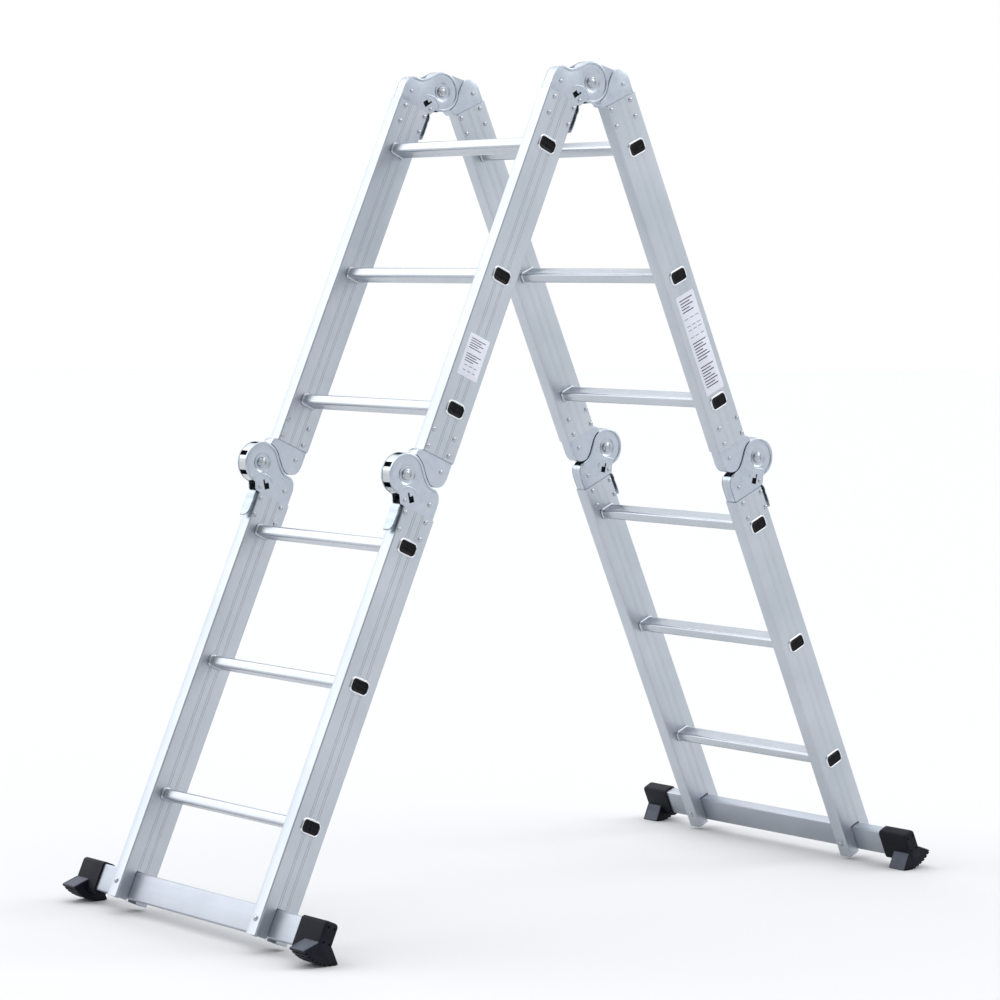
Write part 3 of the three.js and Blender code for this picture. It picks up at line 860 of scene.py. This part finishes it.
def hinge_rivets(hinge, name, row, half, body, face):
    """The domed heads that hold one half in its stile, on both wide faces."""
    bm = bmesh.new()
    for outward in (1, -1):
        place = hinge.place(outward)
        axis = (0, outward * hinge.out, 0)
        for u, v in STILE_RIVETS:
            dome(bm, place(u, v, face), axis, **STILE_HEAD)
        dome(bm, place(*PLATE_RIVET, FACE), axis, **PLATE_HEAD)
        if half == "plate":
            dome(bm, place(*LEVER_PIN, FACE), axis, **PIN_HEAD)
    piece(f"{name}_{row}_{half}_rivets", bm, hinge.leg, body, ["rivet"])


# ---- Drums ----
NOTCH_HALF = 4.7
NOTCH_DEPTH = 5.6
NOTCH_FLOOR = 0.92
NOTCH_REACH = DISC - 1.2  # faces nearer the pivot than this are the notches' insides
STEPS_PER_RADIAN, LEAST_STEPS = 8, 3
ROUNDED_EDGE = ((0, 1.0), (0.3, 0.3), (1, 0))
DRUM_EDGE = ((0, 0.6), (0.6, 0))
CHAMFER = ((0, 0.5), (0.5, 0))


def drum_rim():
    """The drum's outline with its lock notches. As the hinge folds from straight, the tooth
    travels backwards round the drum's own (in, along) frame."""
    middles = sorted(-(TOOTH_ANGLE + math.radians(folded)) % TURN for folded in LOCKS)
    half = NOTCH_HALF / DRUM
    notch = ((-1, 0), (-NOTCH_FLOOR, NOTCH_DEPTH), (NOTCH_FLOOR, NOTCH_DEPTH))
    points = []
    for middle, following in zip(middles, middles[1:] + [middles[0] + TURN]):
        for side, depth in notch:
            angle = middle + side * half
            points.append(((DRUM - depth) * math.cos(angle), (DRUM - depth) * math.sin(angle)))
        steps = max(LEAST_STEPS, round((following - middle) * STEPS_PER_RADIAN))
        points += arc(DRUM, middle + half, following - half, steps)[:-1]
    return points


def cheek_outline():
    """The block between drum and stile: its hollow clears the other half's disc."""
    clear = DISC + CLEAR
    stop = (CORNER[0], CLEAR)
    hollow = arc(clear, math.acos(THROAT[0] / clear), WAIST_ANGLE, steps=12)
    return back_corner(stop) + TAIL_EDGE + FRONT_EDGE + hollow + waist(clear, 1, stop, CLEAR)


def web_outline():
    """The web that joins the drum to its block, from the corner where the two halves stop."""
    touch = math.acos(DRUM / CORNER[0])
    tangent = (DRUM * math.cos(touch), -DRUM * math.sin(touch))
    return [CORNER, (60, 6), (40, 30), (10, 30), (0, 10), tangent]


def drum(hinge, name, row, body):
    """The half with the notched drum between the lock plates, and its closed block."""
    place = hinge.place()
    bm = bmesh.new()
    stepped(bm, drum_rim(), both_faces(DRUM_HALF, DRUM_EDGE), place, caps=True)
    # Painted shade: the notches' insides take the black second material, in place of the shade that lies in
    # these recesses.
    for face in bm.faces:
        middle = face.calc_center_median()
        reach = math.hypot(middle.x - hinge.x, middle.z - hinge.z)
        if reach < NOTCH_REACH and len(face.verts) == 4:
            face.material_index = 1
    node = f"{name}_{row}_notched_drum"
    piece(f"{node}_rim", bm, hinge.leg, body, ["drum", "black"], [node])
    bm = bmesh.new()
    flat_piece(bm, cheek_outline(), both_faces(FACE, ROUNDED_EDGE), place)
    flat_piece(bm, web_outline(), both_faces(DRUM_HALF, CHAMFER), place)
    piece(f"{name}_{row}_drum_cheeks", bm, hinge.leg, body, ["zinc"])


# ---- Release levers ----
# The tab's middle line and half width, as (in, along, half), from the pin to the finger end.
LEVER_TAB = (
    (15.5, 46.0, 9.2), (11.0, 48.2, 9.4), (8.6, 51.6, 10.2), (7.4, 56, 11.6), (7.2, 62, 12.8),
    (8.2, 66, 12.8), (8.2, 70, 12.8), (7.6, 74, 12.8), (7.6, 80, 12.8), (7.4, 88, 12.6), (6.8, 93, 11.6),
    (5.6, 97, 9.6), (4.0, 99.6, 6.5),
)
# The sheet's section, as (side, in from that edge, lift).
TAB_SECTION = (
    (-1, 0, 0), (-1, 0.8, -1.1), (1, 0.8, -1.1), (1, 0, 0), (1, 0.3, 0.8), (1, 1.6, 1.2), (-1, 1.6, 1.2),
    (-1, 0.3, 0.8),
)
DOG_TIP, DOG_ROOT, DOG_SIDE = 37.2, 47.0, 4.2
ARM_HALF = 9.0


def lever_tab(bm, place):
    """A bent tab with a finger dish."""
    line = [(u, v) for u, v, half in LEVER_TAB]
    rings = []
    for i, (u, v, half) in enumerate(LEVER_TAB):
        along = heading(line, i)
        ring = []
        for side, edge, lift in TAB_SECTION:
            ring.append(place(u + along.y * lift, v - along.x * lift, side * (half - edge)))
        rings.append(ring)
    loft(bm, rings)


def lever_arm():
    """The arm between the plates, painted black for the shade that lies between them, with the dog that
    faces the drum.
    """
    dog = [at_tooth(DOG_TIP, DOG_SIDE), at_tooth(DOG_TIP, -DOG_SIDE), at_tooth(DOG_ROOT, -DOG_SIDE)]
    return [(10.0, 41.5), (14.0, 36.5), *dog, (20, 47.5), (16.5, 51.5), (11.0, 50.5)]


def release_lever(hinge, name, row, body):
    place = hinge.place()
    node = f"{name}_{row}_release_lever"
    bm = bmesh.new()
    lever_tab(bm, place)
    piece(f"{node}_tab", bm, hinge.leg, body, ["tab"], [node])
    bm = bmesh.new()
    # Painted shade: the arm takes the black material, for the shade between the plates.
    flat_piece(bm, lever_arm(), both_faces(ARM_HALF, CHAMFER), place)
    piece(f"{node}_dog", bm, hinge.leg, body, ["black"])


# ---- Labels ----
LABEL_WIDTH = 46
LABEL_CORNER = 2.0
SHEET_EDGE = ((-0.05, 0), (0.12, 0), (0.2, 0.15))  # (above the stile, shrink)
INK_LOW, INK_HIGH = 0.19, 0.26
INK_ROUNDING = 0.4
TEXT_WIDTH = 34
TEXT_SHARES = (0.98, 0.72, 0.9, 0.6, 0.84)
ICON_BAR = 1.0


def text_lines(top, count, pitch, height):
    """Rows of plain strokes of uneven length, in place of small print."""
    lines = []
    for k in range(count):
        width = TEXT_WIDTH * TEXT_SHARES[k % len(TEXT_SHARES)]
        lines.append(((width - TEXT_WIDTH) / 2, top - pitch * k, width, height))
    return lines


def icon_frames(columns, rows, top, pitch, width, height):
    """Thin bars over and under each cell of a grid, in place of pictures."""
    bars = []
    for k in range(rows):
        for x in columns:
            bars.append((x, top - pitch * k, width, ICON_BAR))
            bars.append((x, top - pitch * k - height, width, ICON_BAR))
    return bars


def label(name, leg, body, middle, length, strokes):
    """A thin printed label on the near stile; middle is its share of the way from rung 2 to 3."""
    stile_box = Box(f"{body}_near_stile", leg)
    second = Box(f"{body}_rung_2", leg).middle
    third = Box(f"{body}_rung_3", leg).middle
    place = outward_y(second.lerp(third, middle), stile_box.low.y, ROWS["near"])
    bm = bmesh.new()
    rings = []
    for level, shrink in SHEET_EDGE:
        ring = rounded(LABEL_WIDTH - 2 * shrink, length - 2 * shrink, LABEL_CORNER)
        rings.append([place(u, v, level) for u, v in ring])
    loft(bm, rings)
    piece(f"{name}_sheet", bm, leg, body, ["label"])
    bm = bmesh.new()
    for u, v, width, height in strokes:
        outline = rounded(width, height, INK_ROUNDING * height, steps=2)
        prism(bm, [(u + a, v + b) for a, b in outline], INK_LOW, INK_HIGH, place)
    piece(f"{name}_label_grey", bm, leg, body, ["label_grey"])


# ---- The ladder ----
HINGES = {
    "top": {"plates": ("left", "section_2"), "drum": ("right", "section_3")},
    "left": {"plates": ("left", "section_1"), "drum": ("left", "section_2")},
    "right": {"plates": ("right", "section_4"), "drum": ("right", "section_3")},
}
STILE_FACE = Box("section_2_far_stile", "left").size.y / 2

for number, leg in SECTIONS.items():
    for row in ROWS:
        stile(number, row, leg)
    for i in RUNGS:
        rung(number, i, leg)

for number in LOWER_SECTIONS:
    leg = SECTIONS[number]
    body = f"section_{number}"
    stabiliser_bar(leg, body)
    for row in ROWS:
        bar_bolt(leg, row, body)
        foot(leg, row, body)

for name, halves in HINGES.items():
    plates_leg, plates_body = halves["plates"]
    drum_leg, drum_body = halves["drum"]
    for row in ROWS:
        at_plates = Hinge(name, row, "plates", plates_leg)
        at_drum = Hinge(name, row, "drum", drum_leg)
        lock_plate(at_plates, name, row, "outer", plates_body)
        lock_plate(at_plates, name, row, "inner", plates_body)
        pivot_rivet(at_plates, name, row, plates_body)
        hinge_rivets(at_plates, name, row, "plate", plates_body, STILE_FACE)
        hinge_rivets(at_drum, name, row, "drum", drum_body, STILE_FACE)
        drum(at_drum, name, row, drum_body)
        release_lever(at_plates, name, row, f"{name}_{row}_lever")

label(
    "left_label", "left", "section_2", middle=0.61, length=76,
    strokes=text_lines(30, 5, pitch=4.2, height=1.4)
    + text_lines(2, 4, pitch=4.2, height=1.4)
    + icon_frames((-11, 0, 11), 1, -18, pitch=0, width=7, height=9),
)
label(
    "right_label", "right", "section_3", middle=0.53, length=196,
    strokes=text_lines(88, 5, pitch=5.6, height=1.9)
    + icon_frames((-13, 0, 13), 2, 52, pitch=22, width=9, height=14)
    + text_lines(4, 7, pitch=5.6, height=1.9)
    + text_lines(-44, 8, pitch=5.6, height=1.9),
)


# ---- Camera, floor and light ----
CAMERA = Vector((-3.7538, -4.5644, TOP_PIVOT.z - 0.325))
AZIMUTH, ELEVATION, ROLL = math.radians(-39.26), math.radians(4.11), math.radians(0.14)
LENS = 116.6
SENSOR = 36
FAR_CLIP = 100
FLOOR_RADIUS = 30
FLOOR_PAINT = (0.70, 0.70, 0.70)
# The studio as the metal reflects it: a dim room with softboxes, each (toward, edge, strength).
ROOM = 0.32
ROOM_TINT = (0.95, 0.97, 1.0, 1)
SOFTBOXES = {
    "wall_behind": ((-0.2, 0.85, 0.45), 0.30, 1.0),
    "right_wall": ((0.63, -0.77, 0.10), 0.25, 0.62),
    "ceiling": ((0.2, -0.1, 1.0), 0.20, 0.65),
}
BACKDROP = (1, 1, 1, 1)
# Wide, even lights, each (from the object toward the light, strength, width in degrees).
LAMPS = {
    "back_left_softbox": ((-0.55, 0.65, 0.75), 0.7, 60),
    "overhead_softbox": ((0.1, -0.2, 1.0), 0.5, 60),
    "front_rim": ((0.9, -0.45, 0.55), 0.5, 25),
}


def make_camera():
    data = bpy.data.cameras.new("camera")
    data.lens = LENS
    data.sensor_width = SENSOR
    data.clip_end = FAR_CLIP
    camera = bpy.data.objects.new("camera", data)
    bpy.context.scene.collection.objects.link(camera)
    level = math.cos(ELEVATION)
    back = Vector((math.sin(AZIMUTH) * level, -math.cos(AZIMUTH) * level, math.sin(ELEVATION)))
    right = Vector((math.cos(AZIMUTH), math.sin(AZIMUTH), 0))
    up = back.cross(right)
    turn = Matrix((right, up, back)).transposed().to_4x4()
    camera.matrix_world = Matrix.Translation(CAMERA) @ turn @ Matrix.Rotation(ROLL, 4, "Z")
    bpy.context.scene.camera = camera


def make_floor():
    bm = bmesh.new()
    bmesh.ops.create_circle(bm, cap_ends=True, radius=FLOOR_RADIUS, segments=64)
    mesh = bpy.data.meshes.new("floor")
    bm.to_mesh(mesh)
    bm.free()
    floor = bpy.data.objects.new("floor", mesh)
    bpy.context.scene.collection.objects.link(floor)
    material, _, _, bsdf = shader("floor_paint", FLOOR_PAINT, roughness=0.9)
    bsdf.inputs["Specular IOR Level"].default_value = 0.1
    mesh.materials.append(material)


def softbox_glow(nodes, links, direction, toward, edge, low, high):
    """A smooth rise from low to high as the direction turns from edge toward the softbox."""
    facing = nodes.new("ShaderNodeVectorMath")
    facing.operation = "DOT_PRODUCT"
    facing.inputs[1].default_value = Vector(toward).normalized()
    links.new(direction, facing.inputs[0])
    glow = nodes.new("ShaderNodeMapRange")
    glow.interpolation_type = "SMOOTHSTEP"
    glow.inputs["From Min"].default_value = edge
    glow.inputs["To Min"].default_value = low
    glow.inputs["To Max"].default_value = high
    links.new(facing.outputs["Value"], glow.inputs["Value"])
    return glow.outputs["Result"]


def make_world():
    """A dim room and softboxes for the reflections, and a plain pale backdrop for the view."""
    world = bpy.data.worlds.new("studio")
    world.use_nodes = True
    bpy.context.scene.world = world
    nodes, links = world.node_tree.nodes, world.node_tree.links
    direction = nodes.new("ShaderNodeTexCoord").outputs["Generated"]
    (toward, edge, strength), *others = SOFTBOXES.values()
    total = softbox_glow(nodes, links, direction, toward, edge, ROOM, ROOM + strength)
    for toward, edge, strength in others:
        add = nodes.new("ShaderNodeMath")
        links.new(total, add.inputs[0])
        links.new(softbox_glow(nodes, links, direction, toward, edge, 0, strength), add.inputs[1])
        total = add.outputs["Value"]
    room = nodes["Background"]
    room.inputs["Color"].default_value = ROOM_TINT
    links.new(total, room.inputs["Strength"])
    backdrop = nodes.new("ShaderNodeBackground")
    backdrop.inputs["Color"].default_value = BACKDROP
    path = nodes.new("ShaderNodeLightPath")
    mix = nodes.new("ShaderNodeMixShader")
    links.new(path.outputs["Is Camera Ray"], mix.inputs["Fac"])
    links.new(room.outputs["Background"], mix.inputs[1])
    links.new(backdrop.outputs["Background"], mix.inputs[2])
    links.new(mix.outputs["Shader"], nodes["World Output"].inputs["Surface"])


def make_lamps():
    for name, (toward, strength, width) in LAMPS.items():
        data = bpy.data.lights.new(name, "SUN")
        data.energy = strength
        data.angle = math.radians(width)
        lamp = bpy.data.objects.new(name, data)
        bpy.context.scene.collection.objects.link(lamp)
        lamp.rotation_euler = Vector(toward).to_track_quat("Z", "Y").to_euler()


make_camera()
make_floor()
make_world()
make_lamps()
bpy.context.scene.view_settings.view_transform = "Standard"
